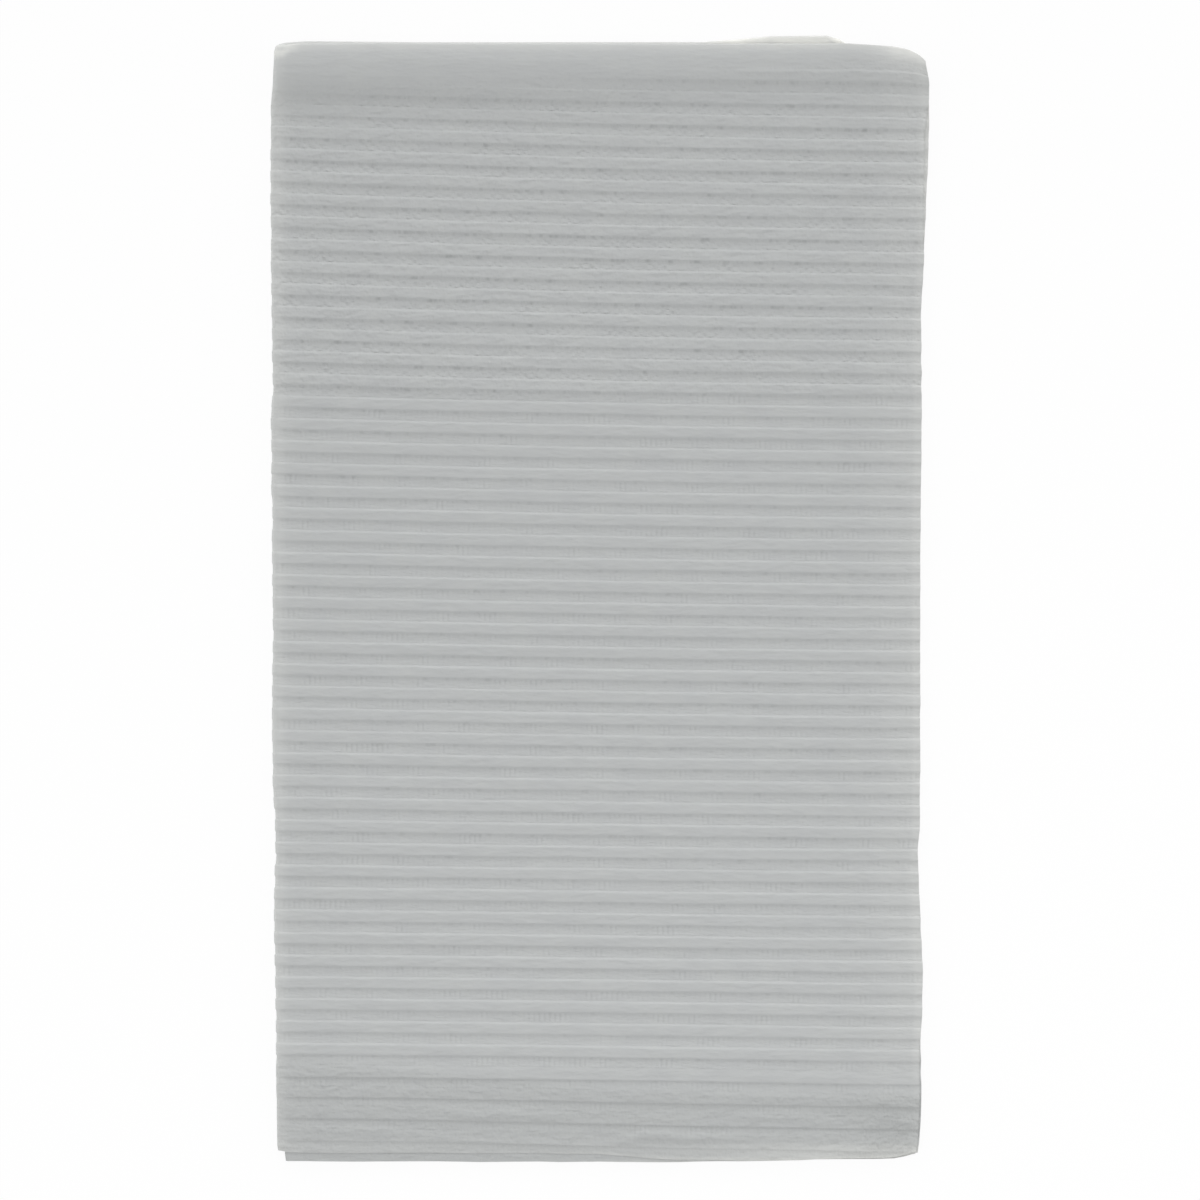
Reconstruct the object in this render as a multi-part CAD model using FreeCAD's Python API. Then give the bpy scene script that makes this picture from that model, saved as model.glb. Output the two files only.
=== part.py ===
"""Disposable patient towel, folded in quarters and lying flat.

One sheet of ribbed, embossed tissue is folded in half across its length, which makes the top
edge, and then in half across its width, which makes the left edge. The packet is four layers
thick, closed along the top and the left, and open along the bottom and the right.

Millimetres. +X runs across the packet, +Y along it towards the top fold, and +Z is up. The
origin is under the middle of the packet, on the surface that it lies on.
"""

import FreeCAD, Part
import math
import os

# ---- the folded packet ---------------------------------------------------------------
packet_length = 330.0       # along Y, from the lowest cut edge to the top fold
packet_width = 194.0        # along X, where it is widest, just below the top fold
front_taper = 3.6           # how much the front layers narrow on the way to the bottom
back_taper = 2.1            # how much the back layers do
back_inset = 0.6            # how far the back layers stay behind the front ones at the top
outer_layer_short = 1.0     # how much sooner the two outer layers end at the bottom

# ---- the sheet and its ribs ----------------------------------------------------------
sheet_thickness = 0.35
rib_pitch = 6.55
rib_land = 2.6              # flat crest of a rib
rib_side = 0.8              # sloping side of a rib, seen from above
rib_depth = 0.35
layer_gap = 0.2             # air between one layer and the next

# ---- the top fold --------------------------------------------------------------------
smooth_band = 14.7          # length beside the top fold that has no ribs
loop_radius = 1.35          # outer radius of the loop that each half of the sheet turns in
crest_length = 4.0          # level stretch at the top fold, loop included
corner_length = 10.0        # stretch of the top fold that droops towards its open end
corner_drop = 5.0           # how far it has drooped at the cut edges
band_stations = 7           # sections that carry the smooth band up to its crest
loop_stations = 9           # sections round the loop

# ---- worked out from the sizes above -------------------------------------------------
top_y = packet_length / 2
bottom_y = -packet_length / 2
ribs_end_y = top_y - smooth_band
crest_y = top_y - crest_length
loop_y = top_y - loop_radius
corner_end_y = top_y - corner_drop
outer_end_y = bottom_y + outer_layer_short
left_x = -packet_width / 2
right_x = packet_width / 2
corner_x = right_x - corner_length
rib_groove = rib_pitch - rib_land - 2 * rib_side

# A height is counted from the packet's middle surface, which the left fold turns about.
inner_face = layer_gap / 2
half_body = 1.5 * layer_gap + 2 * (sheet_thickness + rib_depth)
half_crest = inner_face + 2 * loop_radius


def half_thickness(y):
    """Half the packet's thickness: level over the ribs, then an easy slope up to the crest."""
    share = min(max((y - ribs_end_y) / (crest_y - ribs_end_y), 0.0), 1.0)
    return half_body + (half_crest - half_body) * share * share * (3 - 2 * share)


def droop(y):
    """How far a line of the smooth band has sunk where it meets the cut edges."""
    share = max((y - ribs_end_y) / smooth_band, 0.0)
    return corner_drop * share * share


def cut_point(y, z, inset, taper):
    """Where a line of the packet meets its cut edges on the right, which lean inwards."""
    end_y = y - droop(y)
    lean = taper * (corner_end_y - end_y) / (corner_end_y - bottom_y)
    return FreeCAD.Vector(right_x - inset - lean, end_y, z)


def left_fold(y, height):
    """The half circle on which the left fold carries a point of the section to the back."""
    middle = half_thickness(y)
    turn_x = left_x + middle
    front = FreeCAD.Vector(turn_x, y, middle + height)
    outermost = FreeCAD.Vector(turn_x - height, y, middle)
    back = FreeCAD.Vector(turn_x, y, middle - height)
    return Part.Arc(front, outermost, back).toShape()


def ribbed_route(y, height):
    """One line of the ribbed part: across the front, round the left fold, across the back."""
    fold = left_fold(y, height)
    front, back = fold.Vertexes[0].Point, fold.Vertexes[1].Point
    return Part.Wire([
        Part.makeLine(cut_point(y, front.z, 0, front_taper), front),
        fold,
        Part.makeLine(back, cut_point(y, back.z, back_inset, back_taper)),
    ])


def corner_tail(start, end):
    """The last stretch of a line of the smooth band, which droops on an arc."""
    if start.y == end.y:
        return Part.makeLine(start, end)
    halfway = FreeCAD.Vector((start.x + end.x) / 2, start.y + (end.y - start.y) / 4, start.z)
    return Part.Arc(start, halfway, end).toShape()


def band_route(y, height):
    """One line of the smooth band: as a ribbed one, with a drooping tail at each cut edge."""
    fold = left_fold(y, height)
    front, back = fold.Vertexes[0].Point, fold.Vertexes[1].Point
    front_corner = FreeCAD.Vector(corner_x, y, front.z)
    back_corner = FreeCAD.Vector(corner_x, y, back.z)
    return Part.Wire([
        corner_tail(front_corner, cut_point(y, front.z, 0, front_taper)),
        Part.makeLine(front_corner, front),
        fold,
        Part.makeLine(back, back_corner),
        corner_tail(back_corner, cut_point(y, back.z, back_inset, back_taper)),
    ])


def flat_strip(edge, next_edge):
    """The flat face between two lines of one panel, both of which run towards the left fold."""
    start, end = [vertex.Point for vertex in edge.Vertexes]
    next_start, next_end = [vertex.Point for vertex in next_edge.Vertexes]
    return Part.Face(Part.makePolygon([start, end, next_end, next_start, start]))


def ribbed_faces(section):
    """The faces through a straight-sided run of the section: flat panels and a turned fold."""
    faces = []
    routes = [ribbed_route(*point) for point in section]
    for route, next_route in zip(routes, routes[1:]):
        front, fold, back = route.Edges
        next_front, next_fold, next_back = next_route.Edges
        turned = Part.makeLoft([Part.Wire(fold), Part.Wire(next_fold)], False, True)
        faces += [flat_strip(front, next_front), flat_strip(back, next_back)] + turned.Faces
    return faces


def band_faces(section, straight=False):
    """The faces through a run of the section in the smooth band, on one curve or straight."""
    return Part.makeLoft([band_route(*point) for point in section], False, straight).Faces


def rib_line(end_y, land, groove):
    """One face of a ribbed layer, as (y, height) from the bottom cut edge to the smooth band.

    The ribs are set out downwards from the smooth band, which a whole land meets, and the
    last one is cut off wherever the sheet ends.
    """
    steps = [(rib_land, land), (rib_side, groove), (rib_groove, groove), (rib_side, land)]
    section = [(ribs_end_y, land)]
    while section[-1][0] > end_y:
        step, height = steps[(len(section) - 1) % len(steps)]
        y, before = section[-1]
        share = min(step, y - end_y) / step
        section.append((y - share * step, before + share * (height - before)))
    return section[::-1]


def loop_line(radius):
    """One face of the loop at the top fold, from the outer layer round to the inner one."""
    turns = [math.pi * (0.5 - k / (loop_stations - 1)) for k in range(loop_stations)]
    middle = inner_face + loop_radius
    return [(loop_y + radius * math.cos(a), middle + radius * math.sin(a)) for a in turns]


def shifted(section, rise):
    return [(y, height + rise) for y, height in section]


def sheet_skin():
    """The whole surface of the sheet apart from its cut edges on the right.

    The section is that of one half of the sheet, folded at the top: an outer layer whose ribs
    stand up, and an inner layer whose ribs stand down, each with a ribbed face on the outside
    of the sheet and its match on the inside.
    """
    rise = (crest_y - ribs_end_y) / (band_stations - 1)
    stations = [ribs_end_y + rise * k for k in range(band_stations)]

    outer_ribs = rib_line(outer_end_y, half_body, half_body - rib_depth)
    outer_ribs_under = shifted(outer_ribs, -sheet_thickness)
    outer_band = [(y, half_thickness(y)) for y in stations]
    outer_band_under = shifted(outer_band, -sheet_thickness)

    inner_ribs = rib_line(bottom_y, inner_face, inner_face + rib_depth)
    inner_ribs_under = shifted(inner_ribs, sheet_thickness)
    inner_band = [(y, inner_face) for y in stations]
    inner_band_under = shifted(inner_band, sheet_thickness)

    loop = loop_line(loop_radius)
    loop_under = loop_line(loop_radius - sheet_thickness)

    faces = ribbed_faces(outer_ribs) + ribbed_faces(outer_ribs_under)
    faces += ribbed_faces(inner_ribs) + ribbed_faces(inner_ribs_under)
    faces += ribbed_faces([outer_ribs[0], outer_ribs_under[0]])
    faces += ribbed_faces([inner_ribs[0], inner_ribs_under[0]])
    for band in (outer_band, outer_band_under, inner_band, inner_band_under, loop, loop_under):
        faces += band_faces(band)
    for crest_end, loop_end in (
        (outer_band[-1], loop[0]),
        (outer_band_under[-1], loop_under[0]),
        (inner_band[-1], loop[-1]),
        (inner_band_under[-1], loop_under[-1]),
    ):
        faces += band_faces([crest_end, loop_end], straight=True)
    return faces


def sewn(faces):
    """Faces joined along the edges that they share."""
    shell = Part.makeShell(faces)
    shell.sewShape()
    return shell.Shells[0]


def folded_sheet():
    """The skin, closed on the right by the cut edges of the front pair and the back pair."""
    skin = sewn(sheet_skin())
    rims = Part.sortEdges(skin.getFreeEdges().Edges)
    cut_edges = [Part.Face(Part.Wire(rim)) for rim in rims]
    towel = Part.Solid(sewn(skin.Faces + cut_edges))
    if towel.Volume < 0:
        towel.reverse()
    return towel


patient_towel = folded_sheet()
os.makedirs("parts", exist_ok=True)
patient_towel.exportStep("parts/patient_towel.step")

flat_length = 2 * packet_length - outer_layer_short
flat_width = patient_towel.Volume / sheet_thickness / flat_length
print("solids", len(patient_towel.Solids), "valid", patient_towel.isValid())
print("volume %.0f mm3, packet %.2f mm thick" % (patient_towel.Volume, 2 * half_crest))
print("flat sheet about %.0f x %.0f mm" % (flat_width, flat_length))
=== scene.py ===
"""Disposable patient towel: one sheet of ribbed tissue, folded in quarters and lying flat."""

import math

import bmesh
import bpy
import numpy as np
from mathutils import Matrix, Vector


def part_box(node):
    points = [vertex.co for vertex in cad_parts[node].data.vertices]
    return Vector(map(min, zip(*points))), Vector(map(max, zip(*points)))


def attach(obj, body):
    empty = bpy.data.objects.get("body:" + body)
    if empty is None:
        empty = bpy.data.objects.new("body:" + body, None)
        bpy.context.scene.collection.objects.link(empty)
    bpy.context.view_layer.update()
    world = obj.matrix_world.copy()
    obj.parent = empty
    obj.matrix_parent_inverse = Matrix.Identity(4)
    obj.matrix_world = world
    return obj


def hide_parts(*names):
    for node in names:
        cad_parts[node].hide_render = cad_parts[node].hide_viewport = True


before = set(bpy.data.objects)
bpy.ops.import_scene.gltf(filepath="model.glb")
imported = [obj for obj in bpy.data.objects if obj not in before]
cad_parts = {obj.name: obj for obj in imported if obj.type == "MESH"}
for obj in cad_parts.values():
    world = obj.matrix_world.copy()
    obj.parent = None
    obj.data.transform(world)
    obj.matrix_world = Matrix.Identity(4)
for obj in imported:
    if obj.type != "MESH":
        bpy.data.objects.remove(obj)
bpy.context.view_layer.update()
scene = bpy.context.scene


# ---- The towel -----------------------------------------------------------------------
# One sheet of white towel tissue, two or three plies bonded to a thin film by embossing.
# A roller presses straight ribs across it. It is then folded in half along its length, which
# makes the top edge, and in half across its width, which makes the left edge.

MM = 0.001
towel_low, towel_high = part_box("patient_towel")
left, bottom, table = [c / MM for c in towel_low]
right, top, crest = [c / MM for c in towel_high]
over_width = (left, 0, right)

sheet_thickness = 0.35
layer_gap = 0.2
rib_pitch = 6.55
rib_depth = 0.35
rib_land = 3.4              # from the middle of a rib's upper side to that of its lower side
upper_reach = 0.32          # half the width of a rib's upper side, which is steep
lower_reach = 0.42          # half the width of its lower side
groove_sag = 0.15           # how much deeper a groove is at its upper end, in rib depths
first_rib = 14.5            # the first whole rib's upper side, below the top fold

# A height is counted from the packet's middle surface, which the left fold turns about. Half
# the packet is half the middle gap, an inner layer, a whole gap and an outer layer.
layers_in_half = 2
gaps_in_half = 1.5
inner_height = layer_gap / 2
body_half = gaps_in_half * layer_gap + layers_in_half * (sheet_thickness + rib_depth)
crest_half = crest / 2


def rise(x, start, end):
    """0 before start and 1 after end, with an easy slope between them."""
    share = np.clip((x - start) / (end - start), 0, 1)
    return share * share * (3 - 2 * share)


def mixed(share, first, second):
    """First where share is 0, second where it is 1, and in between where share is."""
    return (1 - share) * first + share * second


def wander(x, y, step, seed):
    """Smooth random heights from -1 to 1 that change over a step in x and a step in y."""
    size = 97
    heights = np.random.default_rng(seed).uniform(-1, 1, (size, size))
    x, y = np.broadcast_arrays(x / step[0], y / step[1])
    column, row = np.floor(x).astype(int), np.floor(y).astype(int)
    u, v = rise(x - column, 0, 1), rise(y - row, 0, 1)

    def knot(i, j):
        return heights[(column + i) % size, (row + j) % size]

    near = mixed(u, knot(0, 0), knot(1, 0))
    far = mixed(u, knot(0, 1), knot(1, 1))
    return mixed(v, near, far)


def drawn(x, points, ease=0.8):
    """An edge through given (place, inset) points, rounded over a few times ease."""
    places, insets = zip(*points)
    steps = (-2, -1, 0, 1, 2)
    return sum(np.interp(x + ease * step, places, insets) for step in steps) / len(steps)


# How far each edge lies inside the packet's box, in millimetres. Side edges are given by the
# distance below the top fold, and end edges by the distance right of the packet's middle.
left_fold = [
    (0, 2.8), (1.1, 1.4), (2.4, 1.0), (9, 1.0), (13, 0.7), (18, 0.1), (32, 0), (67, 0.1),
    (91, 0.4), (103, 0.6), (111, 0), (122, 0.4), (129, 0), (136, 0.5), (150, 0.4), (173, 0.7),
    (203, 0.4), (220, 0.6), (226, 1.1), (238, 1.4), (256, 1.0), (274, 1.3), (297, 1.6),
    (321, 1.9), (330, 2.0),
]
right_outline = [
    (6, 1.3), (8, 0.7), (13, 0), (25, -0.2), (32, 0.1), (44, 0.4), (55, 1.0), (67, 1.7),
    (79, 2.3), (91, 2.3), (109, 2.1), (165, 2.6), (232, 2.6), (239, 3.4), (250, 2.8),
    (274, 1.9), (297, 2.3), (312, 2.0), (324, 2.7), (328, 3.2),
]
top_layer_inset = [
    (17, -0.15), (26, 1.35), (36, 1.2), (47, 0.95), (57, 0.6), (63, -0.12), (290, -0.12),
    (298, 0.5), (318, 0.7), (330, 0.5),
]
front_top = [
    (-97, 3.4), (-95, 2.5), (-92.5, 1.6), (-90, 1.1), (-87, 0.8), (-74, 0.7), (-70, 0.4),
    (-40, 0.4), (30, 0.3), (66, 0.1), (74, -0.1), (80, 0.45), (86, 0.75), (90, 1.35),
    (91.5, 1.95), (93.5, 3.2), (95.2, 4.7), (96.1, 6.2), (96.7, 8),
]
back_top = [
    (-97, 1.4), (-94.5, 0.3), (-91, 0.0), (-86.5, -0.5), (-74, -0.5), (-60, -0.1), (0, -0.1),
    (30, -0.1), (40, -0.8), (51, -2.0), (68, -2.1), (70.5, -1.2), (72.5, 0.4), (74.5, 1.6),
    (85, 2.2), (92, 3.6), (96, 7.5),
]
front_outer_end = [
    (-95, 3.7), (-93.5, 2.9), (-91, 2.6), (-20, 2.5), (0, 2.2), (20, 0.7), (45, 0.3), (70, 0.8),
    (86, 1.1), (90, 1.9), (94, 3.2),
]
front_inner_end = [(-93, 0), (20, -0.2), (50, 0.2), (70, 0.75), (86, 1.0), (90, 1.8), (93, 2.5)]
back_inner_end = [
    (-93, 0.1), (-80, 0.4), (0, 0.1), (45, -0.5), (70, -0.3), (85, 0.1), (90, 1.2), (92.5, 2.2),
]
back_outer_end = [(-95, 3.3), (-60, 1.4), (0, 1.0), (60, 1.3), (92.5, 2.8)]
front_ease = 0.4            # the top fold's two lines have tighter corners than the other edges
back_ease = 0.6
corner_reach = 17           # how far below the top fold its corners still droop


def corner_share(y):
    """How fully a line follows the droop of the top fold: 1 on the fold, 0 below its corners."""
    return np.clip((y - top + corner_reach) / corner_reach, 0, 1) ** 2


def droop(x, y):
    """How far a line near the top fold has sunk towards its open end on the right."""
    return drawn(x, front_top, front_ease) * corner_share(y)


# A zone is where something sets in and where it is full. The cutter's blade has pressed the
# packet thin, in zones that are counted inwards from its cut edges.
side_press = (15, 1)
end_press = (27, 4)


def at_cut(x, y):
    """How near the front's cut edges a place is, from 0 inside the packet to 1 on them."""
    from_side = right - drawn(top - y, right_outline) - x
    return np.maximum(rise(from_side, *side_press), rise(y - bottom, *end_press))


# The packet is puffed up under the top fold, most of all on the left. Three values hold at
# the left edge, in the middle and at the right edge.
puff_start = (21, 20, 16)   # below the top fold
puff_full = (9, 8, 7)       # below the top fold
puff_height = (1.14, 0.80, 0.50)
roll_start = (7, 6.6, 4.4)  # below the top fold, where the puffed band rolls over into it
roll_end = 1
roll_drop = 0.5
billow = 0.08               # how much thicker and thinner the packet is from place to place
billow_step = (43, 61)
fold_swell = 0.12           # how much thicker it is beside the left fold
fold_swell_zone = (14, 2)
cut_press = 0.42            # how much thinner half of it is at the cut edges


def half_thickness(x, y):
    """Half the packet's thickness: puffed up at the top fold and pressed thin at the cuts."""
    below = top - y - droop(x, y)
    start, full = np.interp(x, over_width, puff_start), np.interp(x, over_width, puff_full)
    puff = np.interp(x, over_width, puff_height) * rise(below, start, full)
    roll = np.interp(x, over_width, roll_start)
    puff = puff - roll_drop * np.clip((roll - below) / (roll - roll_end), 0, 1) ** 2
    body = body_half + billow * wander(x, y, billow_step, seed=1)
    body = body + fold_swell * rise(x - left, *fold_swell_zone)
    return body + puff - cut_press * at_cut(x, y)


# Pressing spreads a rib's upper side outwards and inwards, and sharpens its lower side.
spread_out = 2.0
spread_in = 0.6
sharpened = 0.35


def rib_rise(phase, soft):
    """1 on a rib's crest and 0 in the groove below it, for a place counted in rib pitches.
    Soft, from 0 to 1, is how far the upper side has been pressed into a gentle slope."""
    place = (phase % 1) * rib_pitch
    foot, head = upper_reach + spread_out * soft, upper_reach + spread_in * soft
    up = rise(place, -foot, head)
    reach = lower_reach * (1 - sharpened * soft)
    down = rise(place, rib_land - reach, rib_land + reach)
    again = rise(place, rib_pitch - foot, rib_pitch + head)
    sag = np.clip((rib_pitch - upper_reach - place) / (rib_pitch - rib_land), 0, 1)
    return up - down * (1 + groove_sag * sag) + again


# Columns of the mesh cross the front from its cut edge to the left fold, go round the fold
# and cross the back to its cut edge. These are distances from the cut edge or the fold.
span = right - left - body_half
near_cut = [0, 0.7, 1.6, 2.8, 4.4, 6.2, 8.0, 9.8, 11.6, 13.8, 17.5]
near_fold = [9.6, 5.4, 3.0, 1.5, 0.6, 0]
middle_columns = 28
two_creases_meet = [81.4, 83.0, 84.6, 86.2]     # from the cut edge
back_near_fold = [0.8, 2.6, 5.8, 40, 82]
back_near_cut = [67, 57, 46, 29, 25.3, 22.3, 12, 6.5, 3, 1, 0]
bend_steps = 7
front_middle = np.linspace(near_cut[-1], span - near_fold[0], middle_columns)[1:-1]
front_middle = np.sort(np.append(front_middle, two_creases_meet))
front_across = np.concatenate([near_cut, front_middle, span - np.array(near_fold)]) / span
back_across = np.concatenate([back_near_fold, span - np.array(back_near_cut)]) / span
bend_turns = np.linspace(0, math.pi, bend_steps + 1)[1:]
front_share = np.concatenate([front_across, np.ones(bend_steps), 1 - back_across])
bend = np.concatenate([0 * front_across, bend_turns, math.pi + 0 * back_across])
is_back = rise(bend, 0, math.pi)

# Distance across the unfolded sheet, from the front's cut edge to the back's.
back_starts = span + math.pi * body_half
across = mixed(is_back, span * front_share, back_starts + span * (1 - front_share))
across = np.where((bend > 0) & (bend < math.pi), span + body_half * bend, across)

# Rows climb the outer layer, which is the one that shows, go round the top fold and run down
# the inner layer. Each rib has rows round the middle of its lower side, then of its upper one,
# counted in half widths of that side. The creased ribs have most of theirs below, where a
# pressed rib keeps a sharp line.
last_rib = int((top - bottom - first_rib) / rib_pitch)
creased_ribs = 5
first_creased = last_rib + 1 - creased_ribs
outer_rows = ((-1.1, -0.45, 0.45, 1.1, 2.0), (-2.4, -1.1, -0.45, 0.45, 1.1))
creased_rows = ((-4.6, -2.9, -1.6, -0.75, -0.3, 0.3, 0.75, 1.6, 2.9, 4.4, 6.1), (0,))
inner_rows = ((-1, 1), (-1, 1))
outer_band_rows = 5
inner_band_rows = 4
loop_rows = 11


def rib_rows(last, first, rows_at_sides):
    """Places of the mesh rows on the ribs, in pitches, from the bottom of the packet up."""
    sides = ((rib_land / rib_pitch, lower_reach), (0, upper_reach))
    return np.array([
        rib + side - row * reach / rib_pitch
        for rib in range(last, first - 1, -1)
        for (side, reach), rows in zip(sides, rows_at_sides)
        for row in rows
    ])


def level_of(phase):
    return top - first_rib - rib_pitch * phase


def phase_of(level):
    return (top - first_rib - level) / rib_pitch


creased_phase = rib_rows(last_rib, first_creased, creased_rows)
plain_phase = rib_rows(first_creased - 1, -1, outer_rows)
outer_phase = np.sort(np.concatenate([creased_phase, plain_phase]))[::-1]
inner_phase = rib_rows(last_rib, 0, inner_rows)[::-1]
loop_level = top - (crest_half - inner_height) / 2
outer_band = np.linspace(level_of(outer_phase[-1]), loop_level, outer_band_rows + 1)[1:]
inner_band = np.linspace(loop_level, level_of(inner_phase[0]), inner_band_rows + 1)[:-1]
loop_band = np.full(loop_rows - 2, loop_level)
band_phase = phase_of(np.concatenate([outer_band, loop_band, inner_band]))
phase = np.concatenate([outer_phase, band_phase, inner_phase])
loop_turn = np.concatenate([
    np.zeros(len(outer_phase) + outer_band_rows - 1),
    np.linspace(0, math.pi, loop_rows),
    np.full(inner_band_rows + len(inner_phase) - 1, math.pi),
])
is_inner = (1 - np.cos(loop_turn[:, None])) / 2
on_outer = is_inner < 0.5

# Creases pressed into the front's lower end: both ends of each, right of the middle and above
# the bottom, then its half width and its height. A crease is steep below and easy above.
creases = [
    (-54, 6.4, -4, 4.8, 0.5, 0.16), (7, 3.8, 12, 7.6, 1.2, 0.45),
    (12.5, 7.6, 31, 6.6, 1.6, 0.55), (31, 7.0, 78, 7.2, 1.3, 0.26),
    (76, 3.0, 81, 4.8, 0.8, 0.34), (81, 4.8, 87, 8.4, 0.9, 0.42),
    (83, 13.2, 93, 10.8, 0.9, 0.25), (74, 18, 91, 16.2, 1.0, 0.1),
    (-90, 9.8, -60, 8.2, 1.1, 0.22), (-38, 13, -12, 13.8, 1.1, 0.26),
    (-84, 17.4, -52, 16, 0.9, 0.16), (38, 13.6, 62, 12.6, 1.1, 0.24),
]
crease_end = (-2.5, 1.5)    # the zone in which a crease sets in at either end
above_crease = 1.4          # its easy slope, in half widths
below_crease = 0.5          # its steep slope


def creased(x, y):
    """Height of the creases at a place on the front."""
    height = 0
    for start, start_up, stop, stop_up, width, crest_height in creases:
        run, climb = stop - start, stop_up - start_up
        length = math.hypot(run, climb)
        along = ((x - start) * run + (y - bottom - start_up) * climb) / length
        off = ((y - bottom - start_up) * run - (x - start) * climb) / length
        within = rise(along, *crease_end) * rise(length - along, *crease_end)
        slope_width = width * np.where(off > 0, above_crease, below_crease)
        height = height + crest_height * within * np.exp(-(off / slope_width) ** 2)
    return height


# The side edges waver a little. The inner layers turn inside the outer ones, most of all at
# the bottom, and the back's cut edges lie inside the front's.
fold_zone = 3.0             # the left fold is as thick as the packet is this far inside it
edge_waver = 0.12
fold_waver_step = (4.6, 1)
cut_waver_step = (3.9, 1)
inner_waver = 0.1
inner_waver_step = (23, 1)
inner_turn = 1
low_inner_turn = 0.8
low_turn_zone = (15, 3)     # above the bottom
back_outer_inset = 0.8
back_inner_inset = 0.5


def side_place(y):
    """x of every mesh point at heights y, between the cut edges and the left fold."""
    below = top - y
    fold = left + drawn(below, left_fold) + half_thickness(left + fold_zone, y)
    fold = fold + edge_waver * wander(below, 0, fold_waver_step, seed=12)
    fold = fold + is_inner * (inner_turn + low_inner_turn * rise(y - bottom, *low_turn_zone))
    outline = drawn(below, right_outline)
    outline = outline + edge_waver * wander(below, 0, cut_waver_step, seed=13)
    outer = outline + mixed(is_back, drawn(below, top_layer_inset), back_outer_inset)
    inner = outline + mixed(is_back, 0.0, back_inner_inset)
    inner = inner + inner_waver * wander(below, 0, inner_waver_step, seed=5)
    cut = right - mixed(is_inner, outer, inner)
    return cut + (fold - cut) * front_share


# The ribs' course by their level: how far they have slipped towards the top, how far they
# fall over half the packet's width, and how much they bow down at both sides.
rib_slip = [
    (-165, -0.1), (-122, 0.3), (-105, -0.05), (-50, 0.1), (0, -0.3), (100, -0.48), (150, 0),
]
rib_fall = [(-150, 1.1), (-100, 0.97), (60, 1.56), (100, 1.8), (165, 2.0)]
rib_bow = [(-135, 0.23), (-100, 0), (-60, -0.15), (120, -0.48), (165, -0.3)]
fall_run = 82.6             # the run that the fall and the bow are given for
course_start = 27           # how far below the top fold the ribs have their full course
gather = 0.9                # how far the lowest ribs on the left are gathered upwards
gather_zone = (24, 14)      # above the bottom
gather_side = (30, -70)     # right of the middle
waver = 0.09
waver_step = (13, 5.2)


def rib_course(x, level):
    """How far a rib has strayed from level at x. It falls to the right on the front, and
    goes on in the same line over the fold, so that it climbs to the right on the back."""
    below = np.clip((top - level) / course_start, 0, 1)
    lean = below * (2 - below)
    run, fold_run = x / fall_run, (left + body_half) / fall_run
    fall = np.interp(level, *zip(*rib_fall))
    bow = np.interp(level, *zip(*rib_bow))
    gathered = gather * rise(level - bottom, *gather_zone) * rise(x, *gather_side)
    front = gathered + drawn(level, rib_slip) - (fall * run + bow * run ** 2)
    at_fold = -(fall * fold_run + bow * fold_run ** 2)
    back = at_fold + fall * (run - fold_run)
    strayed = waver * wander(across, level, waver_step, seed=2)
    return lean * (mixed(is_back, front, back) + strayed)


level = level_of(phase)[:, None] + 0 * across
x = side_place(level)
y = level + rib_course(x, level)
top_line = mixed(is_back, drawn(x, front_top, front_ease), drawn(x, back_top, back_ease))
y -= top_line * corner_share(y)
x = side_place(y)

# Each layer stops at its own cut edge. Rows that would pass it end on it.
end_waver = 0.12
end_waver_step = (9, 1)
cut_margin = 0.12           # a row nearer to the cut edge than this ends on it too
outer_end = mixed(is_back, drawn(x[0], front_outer_end), drawn(x[0], back_outer_end))
inner_end = mixed(is_back, drawn(x[-1], front_inner_end), drawn(x[-1], back_inner_end))
end = bottom + np.where(on_outer, outer_end, inner_end)
end = end + end_waver * wander(across, 0, end_waver_step, seed=4)
ended = y < end + cut_margin
rib_phase = phase[:, None] - np.where(ended, (end - y) / rib_pitch, 0)
y = np.where(ended, end, y)
x = side_place(y)
rows = np.arange(len(phase))[:, None]
last_outer = np.max(np.where(ended & on_outer, rows, 0), axis=0)
first_inner = np.min(np.where(ended & ~on_outer, rows, len(phase) - 1), axis=0)
kept_row = np.clip(rows, last_outer, first_inner)

above_bottom = y - bottom
from_top = top - y - droop(x, y)
from_fold = np.abs(x - (left + body_half)) + 0 * y
from_cut = np.minimum(np.abs(x - x[:, :1]), np.abs(x - x[:, -1:]))
near_cut_edge = at_cut(x, y)

# How deep the ribs are, as a share. They are shallow over the left fold, at the lower end,
# which was pressed, and next to the smooth band, and they wax and wane elsewhere.
pressed_zone = (37, 18)     # above the bottom
faint_zone = (9, 6)         # above the bottom
kept_when_pressed = 0.85
kept_when_faint = 0.6
kept_over_fold = (0.35, 0.05)           # where the sheet isn't pressed, and where it is
fold_fade = 3.2             # from the fold, where the ribs are whole again
pressed_fold_fade = 3       # and how much farther that is where the sheet is pressed
ribs_start = (13.5, 3.5)    # below the top fold, at the left and at the right
ribs_full = 8
wax = 0.13
wax_step = (11, 6.5)
long_wax = 0.18
long_wax_step = (90, 6.5)
pressed = rise(above_bottom, *pressed_zone)
fade = rise(from_fold, pressed, fold_fade + pressed_fold_fade * pressed)
top_start = top - np.interp(x, (left, right), ribs_start)
waxing = wax * wander(across, y, wax_step, seed=6)
waxing = waxing + long_wax * wander(across, y, long_wax_step, seed=15)
rib_share = mixed(fade, mixed(pressed, *kept_over_fold), 1)
rib_share = rib_share * rise(y, top_start, top_start - ribs_full)
rib_share = rib_share * (1 + waxing * (1 - near_cut_edge))
rib_share = rib_share * mixed(pressed, 1, kept_when_pressed)
rib_share = rib_share * mixed(rise(above_bottom, *faint_zone), 1, kept_when_faint)

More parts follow.
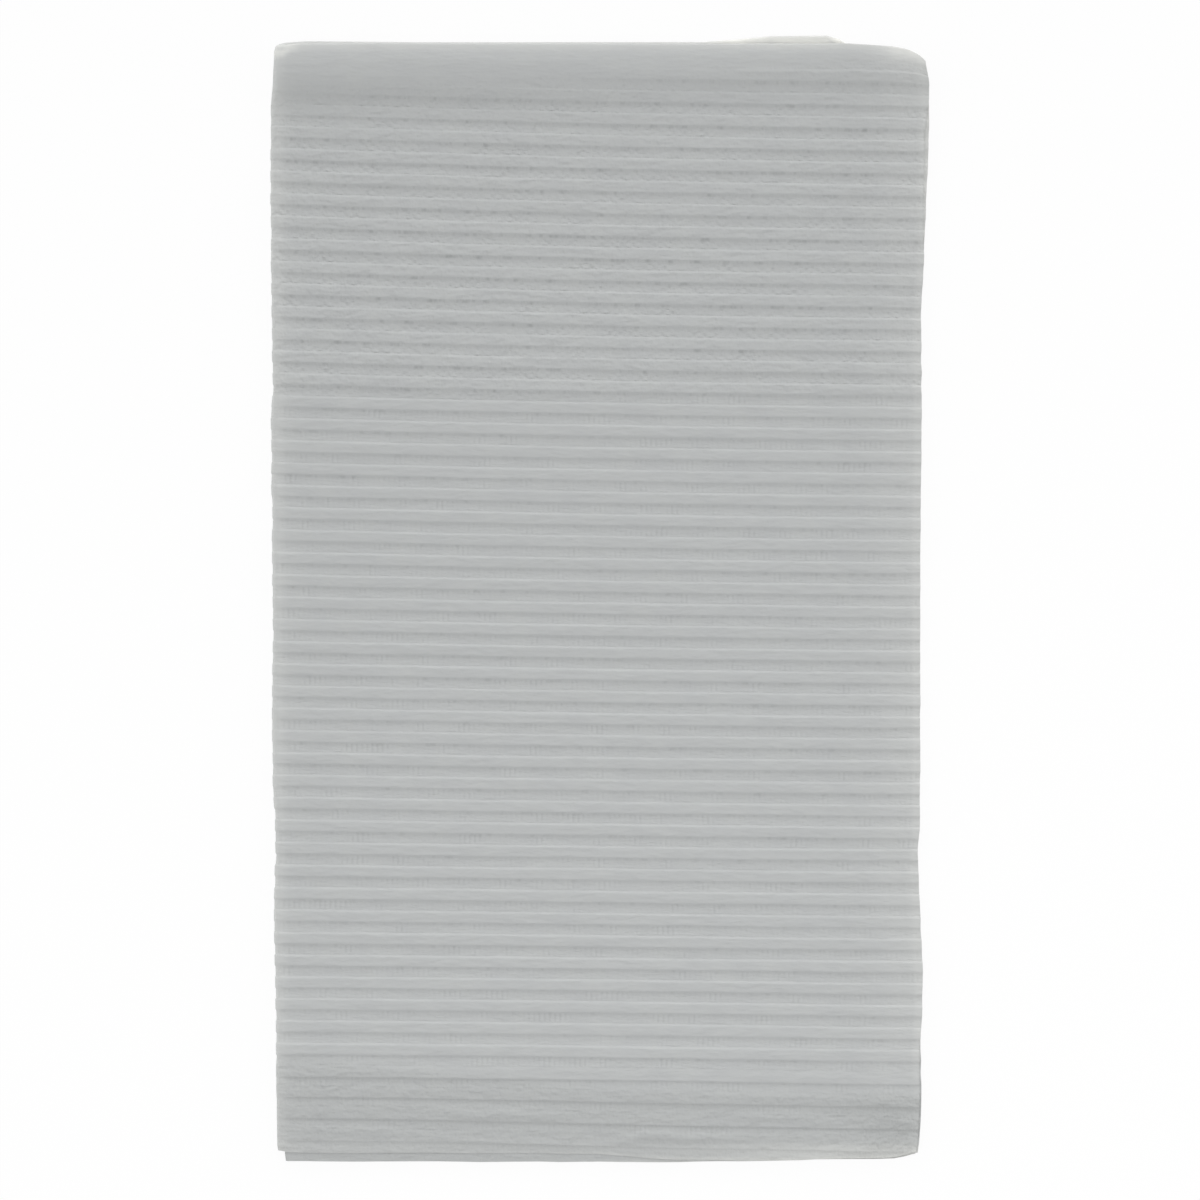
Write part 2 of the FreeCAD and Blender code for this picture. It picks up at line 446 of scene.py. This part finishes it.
# Heights from the packet's middle surface, for the sheet's outward and inward faces. The
# inner layers' ribs stand the other way. Near the cut edges they nest under the outer ones,
# as layers that were cut together do.
dimple = 0.024
dimple_step = (12, 2.7)
ridge = 0.04
ridge_step = (60, 3.1)
inner_rib_share = 0.75      # how deep the inner layers' ribs are beside the outer ones'
least_gap = 0.06
least_half_gap = 0.03
uneven = dimple * wander(across, y, dimple_step, seed=7)
uneven = uneven + ridge * wander(across, y, ridge_step, seed=14)
half = half_thickness(x, y) + uneven * (1 - is_inner)
drop = rib_depth * (1 - rib_rise(rib_phase, pressed)) * rib_share
lifted = creased(x, y) * (1 - is_back) * on_outer
apart = inner_height + sheet_thickness + inner_rib_share * drop
nested = half - drop - sheet_thickness - least_gap
inner_inward = np.minimum(mixed(near_cut_edge, apart, nested), nested)
inner_inward = np.maximum(inner_inward, sheet_thickness + least_half_gap)

# The loop at the top fold, whose back pair is propped up where it stands out above the front.
# Cut edges are pinched.
prop = 0.6
prop_zone = (7, 1.5)        # below the top fold
prop_left = (24, 44)        # right of the middle
prop_right = (84, 72)       # right of the middle
pinch = 0.2
pinch_zone = (1.6, 0)       # inwards from a cut edge
loop_radius = (half - inner_height) / 2
propped = prop * rise(top - y, *prop_zone) * rise(x, *prop_left) * rise(x, *prop_right)
pinched = pinch * rise(np.minimum(from_cut, y - end), *pinch_zone)


def face_points(depth):
    """The points of one face of the sheet, depth inwards from its outward face."""
    bent = loop_radius - depth
    turn = loop_turn[:, None]
    height = inner_height + loop_radius + bent * np.cos(turn)
    height = np.where(turn == 0, half - drop + lifted - depth, height)
    height = np.where(turn == math.pi, inner_inward - sheet_thickness + depth, height)
    face_x = x - height * np.sin(bend)
    face_z = table + half + height * np.cos(bend) + propped * (1 - height / half)
    return np.stack([face_x, y + bent * np.sin(turn), face_z], axis=-1)


outward = face_points(pinched * (1 - is_inner))
inward = face_points(sheet_thickness - pinched * is_inner)
row_count, column_count = x.shape
number = kept_row * column_count + np.arange(column_count)
inward_number = number + row_count * column_count
rings = []


def skin(grid, flip=False):
    """Faces between neighbouring points of a grid, less those that have come to nothing."""
    corners = [grid[:-1, :-1], grid[1:, :-1], grid[1:, 1:], grid[:-1, 1:]]
    for ring in np.stack(corners, axis=-1).reshape(-1, 4)[:, ::-1 if flip else 1]:
        ring = list(dict.fromkeys(ring.tolist()))
        if len(ring) > 2:
            rings.append(ring)


skin(number)
skin(inward_number, flip=True)
for rim in (np.s_[:, 0], np.s_[:, -1], np.s_[0], np.s_[-1]):
    skin(np.stack([number[rim], inward_number[rim]], 1))

points = np.concatenate([outward.reshape(-1, 3), inward.reshape(-1, 3)]) * MM
used = np.unique(np.concatenate([np.array(ring) for ring in rings]))
renumbered = np.zeros(len(points), int)
renumbered[used] = np.arange(len(used))
towel_mesh = bpy.data.meshes.new("patient_towel_sheet")
towel_mesh.from_pydata(
    points[used].tolist(), [], [[int(renumbered[n]) for n in ring] for ring in rings]
)

# Where the sheet was pressed flat: the lower end, most of all its right corner, and a shallow
# hollow beside the smooth band on the left. The colour is greyer there: darker towards the lower
# end, and painted shade in the hollow. Then where the roller's flutes give way to beads.
flat_start = (34, 25, 23)   # above the bottom, at the left edge, in the middle and at the right
flat_full = 5
flat_corner = 0.8
flat_corner_zone = (66, 88)     # right of the middle
hollow = 0.5
hollow_middle = 16          # below the top fold
hollow_width = 5
hollow_side = (30, -60)     # right of the middle
bead_start = 226            # above the bottom
bead_change = 1
bead_strength = (1.15, 0.8)     # at the left and at the right
bead_zone = (2, -6)         # above the line where the ribs start
flat_edge = np.interp(x, over_width, flat_start)
flat_and_hollow_shade = rise(above_bottom, flat_edge, flat_edge - flat_full)
flat_and_hollow_shade = flat_and_hollow_shade * (1 + flat_corner * rise(x, *flat_corner_zone))
dented = np.exp(-((from_top - hollow_middle) / hollow_width) ** 2)
flat_and_hollow_shade = flat_and_hollow_shade + hollow * dented * rise(x, *hollow_side)
beaded = rise(above_bottom, bead_start - bead_change, bead_start + bead_change)
beaded = beaded * np.interp(x, (left, right), bead_strength) * rise(y - top_start, *bead_zone)

# Painted light and shade. Where the sheet has little behind it, light comes through. Its cut
# edges, lower end, left fold and top fold are painted paler, which also lifts the shade that
# falls on them.
# The front's inner layer under the outer layer's end on the left is painted darker, as shade.
# Each row of the table gives how much paler (darker below 0), in which zone of which distance,
# and how fully.
rim_kept = 1 - 0.5 * pressed
glow_kept = 1 - 0.9 * pressed
by_the_loop = rise(x, 28, 46) * rise(x, 80, 70)
to_the_right = rise(x, 10, 80)
more_to_the_right = mixed(rise(x, -20, 20), 0.3, 1)
ledge = is_inner * (1 - is_back)                # the front's inner layer, bared at its edges
ledge_in_shade = ledge * rise(x, 20, -10)
ledge_high_up = ledge * rise(y, 80, 100)
painted_light_and_shade_rows = (
    (0.12, from_cut, (2.4, 0.4), rim_kept),
    (0.10, from_cut, (20, 0), glow_kept),
    (0.18, from_cut, (1.9, 1.3), ledge_high_up),
    (0.14, from_fold, (4.5, 0.3), 1),
    (0.04, from_fold, (12, 0), 1),
    (0.23, from_top, (3.4, 0.6), 1),
    (0.02, from_top, (10, 2), 1),
    (0.16, from_top, (2.4, 0.5), by_the_loop),
    (0.22, above_bottom, (6.5, 3.5), to_the_right),
    (0.05, above_bottom, (8, 4), 1),
    # painted shade on the front's inner layer where it lies under the outer layer's end
    (-0.10, above_bottom, (4, 2.4), ledge_in_shade),
    # painted light on each layer's rounded cut end, lifting the shade that falls there
    (0.20, y - end, (1.1, 0.3), more_to_the_right),
)
painted_light_and_shade = sum(amount * rise(far, *zone) * fully for amount, far, zone, fully in painted_light_and_shade_rows)

# Painted highlight: the top fold's upper left corner is crumpled along a slanting line, which is
# painted paler in patches.
crumple_highlight = 0.4
crumple_patch = 0.25
crumple_step = (2.1, 1.7)
crumple_from_left = 3.6
crumple_reach = 3.2
crumple_from_top = 5.2      # at the left edge, and it climbs from there
crumple_climb = 0.6
crumple_width = 1.3
along = (x - left - crumple_from_left) / crumple_reach
off = (from_top - crumple_from_top + crumple_climb * (x - left)) / crumple_width
patch = crumple_highlight + crumple_patch * wander(x, y, crumple_step, seed=8)
painted_light_and_shade = painted_light_and_shade + np.exp(-along ** 2 - off ** 2) * patch

# Painted highlight: the upper right corner is rounded over and painted paler there.
corner = 0.38
corner_patch = 0.1
corner_step = (3.1, 2.7)
corner_inside = 7           # from the right
corner_width = 7
corner_below = 2            # from the top fold
corner_height = 3.5
along = (x - right + corner_inside) / corner_width
off = (from_top - corner_below) / corner_height
patch = corner + corner_patch * wander(x, y, corner_step, seed=9)
painted_light_and_shade = painted_light_and_shade + np.exp(-along ** 2 - off ** 2) * patch

# Painted light: the back's loop is painted palest where it stands out above the front, apart
# from its very rim, for light coming through it and against the shade the front's loop casts on
# it.
loop_zone = (1.6, 0.6)      # below the top fold
loop_side = (26, 46)        # right of the middle
faint_loop = 0.35
loop_tone = 1.4
loop_rim_tone = 0.55
loop_rim_zone = (0.2, 1.7)  # above the top fold
over_top = y + loop_radius * np.sin(loop_turn)[:, None] - top
tone = mixed(rise(over_top, *loop_rim_zone), loop_tone, loop_rim_tone)
tone = mixed(rise(x, *loop_side), faint_loop, tone)
painted_loop_light = is_back * rise(-over_top, *loop_zone) * tone

# The material reads these values, and the place on the unfolded sheet, from every point.
sheet_along = np.where(on_outer, above_bottom, 2 * top - bottom - y)
sheet_place = np.stack([across + 0 * y, sheet_along, 0 * y], axis=-1)
for name, kind, values in (
    ("sheet_place", "FLOAT_VECTOR", sheet_place),
    ("rib_place", "FLOAT", rib_phase),
    ("rib_strength", "FLOAT", rib_share),
    ("flat_and_hollow_shade_mask", "FLOAT", flat_and_hollow_shade),
    ("beaded", "FLOAT", beaded),
    ("painted_light_and_shade_mask", "FLOAT", np.maximum(painted_light_and_shade, painted_loop_light)),
):
    both = np.concatenate([values.reshape(row_count * column_count, -1)] * 2)[used]
    noted = towel_mesh.attributes.new(name, kind, "POINT")
    noted.data.foreach_set("vector" if kind == "FLOAT_VECTOR" else "value", both.ravel())

sharp_angle = 55
work = bmesh.new()
work.from_mesh(towel_mesh)
bmesh.ops.recalc_face_normals(work, faces=work.faces)
work.to_mesh(towel_mesh)
work.free()
towel_mesh.shade_smooth()
towel_mesh.set_sharp_from_angle(angle=math.radians(sharp_angle))
towel = bpy.data.objects.new("patient_towel_sheet", towel_mesh)
scene.collection.objects.link(towel)


def linear(code):
    """Linear colour from an sRGB hex code."""
    parts = [int(code[i:i + 2], 16) / 255 for i in (1, 3, 5)]
    return [c / 12.92 if c <= 0.04045 else ((c + 0.055) / 1.055) ** 2.4 for c in parts] + [1]


def put(nodes, kind, inputs=(), **settings):
    """Adds a node with its settings, and sets or links its inputs by name or place. Another
    node given for an input stands for its first output."""
    node = nodes.new("ShaderNode" + kind)
    for name, value in settings.items():
        setattr(node, name, value)
    for name, value in dict(inputs).items():
        if isinstance(value, bpy.types.Node):
            value = value.outputs[0]
        if isinstance(value, bpy.types.NodeSocket):
            nodes.id_data.links.new(value, node.inputs[name])
        else:
            node.inputs[name].default_value = value
    return node


# Tissue is matt and a little fuzzy. The eye sees flutes in the grooves, or beads higher up,
# from the embossing roller, and a faint uneven crepe all over.
tissue = bpy.data.materials.new("white_embossed_tissue")
tissue.use_nodes = True
nodes = tissue.node_tree.nodes
nodes.clear()
place = put(nodes, "Attribute", attribute_name="sheet_place").outputs["Vector"]
rib, strength, flat_and_hollow_shade_share, beads_here, painted_light_and_shade_share = [
    put(nodes, "Attribute", attribute_name=name).outputs["Fac"]
    for name in ("rib_place", "rib_strength", "flat_and_hollow_shade_mask", "beaded", "painted_light_and_shade_mask")
]
sideways = put(nodes, "SeparateXYZ", {0: place}).outputs["X"]

# Uneven patterns, by the size of their patches across and along the sheet in millimetres
# and by how many finer ones they carry. The crepe's grain is drawn coarser than the real one.
patterns = {}
for name, (wide, long), detail in (
    ("drift", (83.33, 83.33), 0.0),         # the roller's pattern drifts off its pitch
    ("taken", (6.667, 6.667), 2.0),         # where the embossing took well
    ("crepe", (1.111, 1.111), 3.0),
    ("pucker", (2.5, 0.8333), 2.0),         # short puckers that lie along the ribs
    ("crinkle", (1.613, 1.923), 1.5),       # where the sheet was pressed or beaded
    ("ruck", (6.667, 2.0), 1.5),            # long soft rucks
    ("cloud", (8.333, 8.333), 4.0),         # thicker and thinner pulp
    ("knot", (2.632, 6.25), 2.0),           # where painted shade deepens the line below a rib
):
    laid = put(nodes, "Mapping", {"Vector": place, "Scale": (1 / wide, 1 / long, 1.0)})
    patterns[name] = put(nodes, "TexNoise", {"Vector": laid, "Scale": 1.0, "Detail": detail})

# Bands across each rib pitch, as shares of it from a rib's upper side down: where each
# starts, is full, fades and ends.
bands = {}
fraction = put(nodes, "Math", {0: rib}, operation="FRACT")
for name, start, full, fading, ending in (
    ("groove", 0.52, 0.57, 0.89, 0.96),
    ("lower_edge", 0.45, 0.51, 0.57, 0.66),
    ("beads", 0.42, 0.48, 0.95, 1.0),
):
    ramp = put(nodes, "ValToRGB", {0: fraction})
    stops = ramp.color_ramp.elements
    stops[0].position, stops[1].position = start, ending
    stops[0].color = stops[1].color = (0, 0, 0, 1)
    for at in (full, fading):
        stops.new(at).color = (1, 1, 1, 1)
    bands[name] = put(nodes, "Math", {0: ramp, 1: strength}, operation="MULTIPLY")

# Flutes and beads swing from -1 to 1 across the sheet. Beads do so down the sheet as well,
# and are squared to stand apart from each other.
flute_pitch = 1.554
flute_drift = 10.0          # how far the flutes drift, in radians
bead_pitch = 3.24
bead_drift = 12.0
bead_rows = 3               # to a rib pitch
bead_lag = 3.52             # how far the first row lies from a rib's upper side, in radians
swings = []
for pitch, drift in ((flute_pitch, flute_drift), (bead_pitch, bead_drift)):
    turn = put(nodes, "Math", {0: sideways, 1: 2 * math.pi / pitch}, operation="MULTIPLY")
    turn = put(nodes, "Math", {0: patterns["drift"], 1: drift, 2: turn},
               operation="MULTIPLY_ADD")
    swings.append(put(nodes, "Math", {0: turn}, operation="SINE"))
flute, bead_across = swings
turn = put(nodes, "Math", {0: rib, 1: 2 * math.pi * bead_rows, 2: bead_lag},
           operation="MULTIPLY_ADD")
bead_along = put(nodes, "Math", {0: turn}, operation="SINE")
bead = put(nodes, "Math", {0: bead_across, 1: bead_along}, operation="MULTIPLY")
bead_size = put(nodes, "Math", {0: bead}, operation="ABSOLUTE")

# The flutes end where the beads begin, and both took better in some places than in others.
fluted_here = put(nodes, "MapRange", {"Value": beads_here, "From Max": 0.5, "To Min": 1.0,
                                      "To Max": 0.0})
flutes_took = put(nodes, "MapRange", {"Value": patterns["taken"], "From Min": 0.54,
                                      "From Max": 0.64, "To Min": 0.08, "To Max": 1.0})
beads_took = put(nodes, "MapRange", {"Value": patterns["taken"], "From Min": 0.42,
                                     "From Max": 0.66, "To Min": 0.4, "To Max": 2.3})

# The rest of the relief is weaker in some places than in others. Where the sheet was pressed
# or beaded it is rougher.
pucker_calm = -0.28         # puckers are weaker in rough places
ruck_more = 0.5             # and rucks are stronger
rough = put(nodes, "Math", {0: flat_and_hollow_shade_share, 1: beads_here}, operation="ADD")
pucker_share = put(nodes, "MapRange", {"Value": bands["groove"], "To Min": 0.5, "To Max": 1.0})
pucker_share = put(nodes, "Math", {0: rough, 1: pucker_calm, 2: pucker_share},
                   operation="MULTIPLY_ADD")
ruck_share = put(nodes, "MapRange", {"Value": strength, "To Min": 0.5, "To Max": 0.8})
ruck_share = put(nodes, "Math", {0: rough, 1: ruck_more, 2: ruck_share},
                 operation="MULTIPLY_ADD")

# Each relief is its factors multiplied together, at a depth in millimetres, over the last.
flute_depth = 0.017
bead_depth = 0.055
ruck_depth = 0.36
pucker_depth = 0.165
crinkle_depth = 0.31
crepe_depth = 0.045
heights = {}
over = {}
for name, depth, factors in (
    ("flutes", flute_depth, (flute, bands["groove"], flutes_took, fluted_here)),
    ("beads", bead_depth, (bead, bead_size, bands["beads"], beads_here, beads_took)),
    ("rucks", ruck_depth, (patterns["ruck"], ruck_share)),
    ("puckers", pucker_depth, (patterns["pucker"], pucker_share)),
    ("crinkle", crinkle_depth, (patterns["crinkle"], rough)),
    ("crepe", crepe_depth, (patterns["crepe"],)),
):
    height = factors[0]
    for factor in factors[1:]:
        height = put(nodes, "Math", {0: height, 1: factor}, operation="MULTIPLY")
    heights[name] = height
    relief = put(nodes, "Bump", {"Height": height, "Strength": 1.0, "Distance": depth * MM,
                                 **over})
    over = {"Normal": relief}

# Colour: two whites of pulp, with painted shade in the flutes' pits and in the line below each
# rib, greyer towards the lower end with painted shade in the hollow, and painted light and shade
# where light comes through and on shaded edges.
line_more = 0.9             # the painted shade of the line is darker among the beads
grey_share = 0.3
pulp = put(nodes, "Mix", {"Factor": patterns["cloud"], "A": linear("#B7B9BA"),
                          "B": linear("#BEC0BF")}, data_type="RGBA").outputs["Result"]
# Painted shade in the flutes' pits.
painted_shade = put(nodes, "MapRange", {"Value": heights["flutes"], "From Min": -1.0, "From Max": 0.2,
                              "To Min": 0.19, "To Max": 0.0})
# Painted shade that deepens the line below each rib, which the rib's lower side also shades.
line = put(nodes, "MapRange", {"Value": patterns["knot"], "From Min": 0.52, "From Max": 0.72,
                               "To Min": 0.0, "To Max": 0.24})
line = put(nodes, "Math", {0: line, 1: bands["lower_edge"]}, operation="MULTIPLY")
line_share = put(nodes, "Math", {0: beads_here, 1: line_more, 2: 1.0},
                 operation="MULTIPLY_ADD")
painted_shade = put(nodes, "Math", {0: line, 1: line_share, 2: painted_shade}, operation="MULTIPLY_ADD")
# Grey: darker towards the lower end and its right corner, and painted shade in the hollow beside
# the smooth band.
painted_grey = put(nodes, "Math", {0: flat_and_hollow_shade_share, 1: grey_share}, operation="MULTIPLY")
colour = pulp
# Painted shade in the pits and lines; grey towards the lower end, with painted shade in the
# hollow; then painted light and shade from the mask, towards #E8E8E3 above 0 and darker below
# it.
for share, code, most in ((painted_shade, "#949696", True), (painted_grey, "#A6A8A7", True),
                          (painted_light_and_shade_share, "#E8E8E3", False)):
    layer = put(nodes, "Mix", {"Factor": share, "A": colour, "B": linear(code)},
                data_type="RGBA", clamp_factor=most)
    colour = layer.outputs["Result"]
surface = put(nodes, "BsdfPrincipled", {
    "Base Color": colour, "Roughness": 0.92, "IOR": 1.47, "Normal": relief,
})
put(nodes, "OutputMaterial", {"Surface": surface})
towel_mesh.materials.append(tissue)

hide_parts("patient_towel")
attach(towel, "root")


# ---- The table -----------------------------------------------------------------------
# A smooth white board, lacquered, that the towel lies on. It looks pure white to the eye
# and still keeps a faint shadow round the towel.
table_half = 3.0            # metres
below_towel = 0.02          # millimetres that keep its face clear of the towel's underside
table_white = 0.93          # the share of plain white that the eye gets of it
table_z = (table - below_towel) * MM
table_mesh = bpy.data.meshes.new("white_table")
corners = [(-1, -1), (1, -1), (1, 1), (-1, 1)]
table_mesh.from_pydata(
    [(a * table_half, b * table_half, table_z) for a, b in corners], [], [(0, 1, 2, 3)]
)
floor = bpy.data.objects.new("white_table", table_mesh)
scene.collection.objects.link(floor)


def in_view(nodes):
    """1 for what the eye sees, straight, mirrored or through glass, and 0 for lit surfaces."""
    rays = put(nodes, "LightPath")
    seen = rays.outputs["Is Camera Ray"]
    for way in ("Is Glossy Ray", "Is Transmission Ray"):
        seen = put(nodes, "Math", {0: seen, 1: rays.outputs[way]}, operation="MAXIMUM")
    return seen


# The lacquer is matt and even, so the board has no grain and mirrors nothing.
lacquer = bpy.data.materials.new("white_lacquer")
lacquer.use_nodes = True
nodes = lacquer.node_tree.nodes
nodes.clear()
whiteness = put(nodes, "Math", {0: in_view(nodes), 1: table_white}, operation="MULTIPLY")
board = put(nodes, "BsdfDiffuse", {"Color": linear("#FAFAFA")})
glow = put(nodes, "Emission", {"Color": linear("#FFFFFF"), "Strength": 1.0})
table_look = put(nodes, "MixShader", {0: whiteness, 1: board, 2: glow})
put(nodes, "OutputMaterial", {"Surface": table_look})
table_mesh.materials.append(lacquer)


# ---- The light -----------------------------------------------------------------------
# A tent of white cloth, brightest low down beyond the top fold, which picks out the upper
# side of every rib, and a long strip light hung above the towel's lower end.
tent_level = 0.597
low_wall = (0.30, 0.65)     # by how high up, where the walls' extra light starts to fail
far_wall = (0.35, 0.85)     # by how far beyond the top fold, where it sets in and is full
side_walls = (0.45, 0.85)   # by how far aside
far_gain = 2.0
side_gain = 1.1
world = bpy.data.worlds.new("light_tent")
scene.world = world
world.use_nodes = True
nodes = world.node_tree.nodes
nodes.clear()
sky = put(nodes, "SeparateXYZ", {0: put(nodes, "TexCoord").outputs["Generated"]})
aside = put(nodes, "Math", {0: sky.outputs["X"]}, operation="ABSOLUTE")
low, far, sides = [
    put(nodes, "MapRange", {"Value": value, "From Min": start, "From Max": full,
                            "To Min": near, "To Max": gain}, interpolation_type="SMOOTHSTEP")
    for value, (start, full), near, gain in (
        (sky.outputs["Z"], low_wall, 1.0, 0.0),
        (sky.outputs["Y"], far_wall, 0.0, far_gain),
        (aside, side_walls, 0.0, side_gain),
    )
]
walls = put(nodes, "Math", {0: far, 1: sides}, operation="ADD")
tent = put(nodes, "Math", {0: low, 1: walls, 2: tent_level}, operation="MULTIPLY_ADD")
inside = put(nodes, "Background", {"Color": linear("#FFFFFF"), "Strength": tent})
backdrop = put(nodes, "Background", {"Color": linear("#FFFFFF"), "Strength": 1.0})
tent_look = put(nodes, "MixShader", {0: in_view(nodes), 1: inside, 2: backdrop})
put(nodes, "OutputWorld", {"Surface": tent_look})

# The strip light, in metres and watts.
strip_light = bpy.data.lights.new("strip_light", "AREA")
strip_light.shape = "RECTANGLE"
strip_light.size, strip_light.size_y = 0.9, 0.15
strip_light.energy = 0.42
strip = bpy.data.objects.new("strip_light", strip_light)
strip.location = (0.16, -0.17, 0.42)
scene.collection.objects.link(strip)


# ---- The camera ----------------------------------------------------------------------
# It hangs over the middle of the towel and looks straight down on it through a long lens,
# so that the edges of the layers show hardly any of their sides.
lens_mm, film_mm = 85.0, 36.0
view_width = 353.9 * MM
view_centre = (0.15 * MM, 0.52 * MM)
distance = view_width * lens_mm / film_mm
camera_data = bpy.data.cameras.new("camera")
camera_data.lens = lens_mm
camera_data.sensor_width = film_mm
camera = bpy.data.objects.new("camera", camera_data)
camera.location = (*view_centre, body_half * MM + distance)
scene.collection.objects.link(camera)
scene.camera = camera
scene.view_settings.view_transform = "Standard"
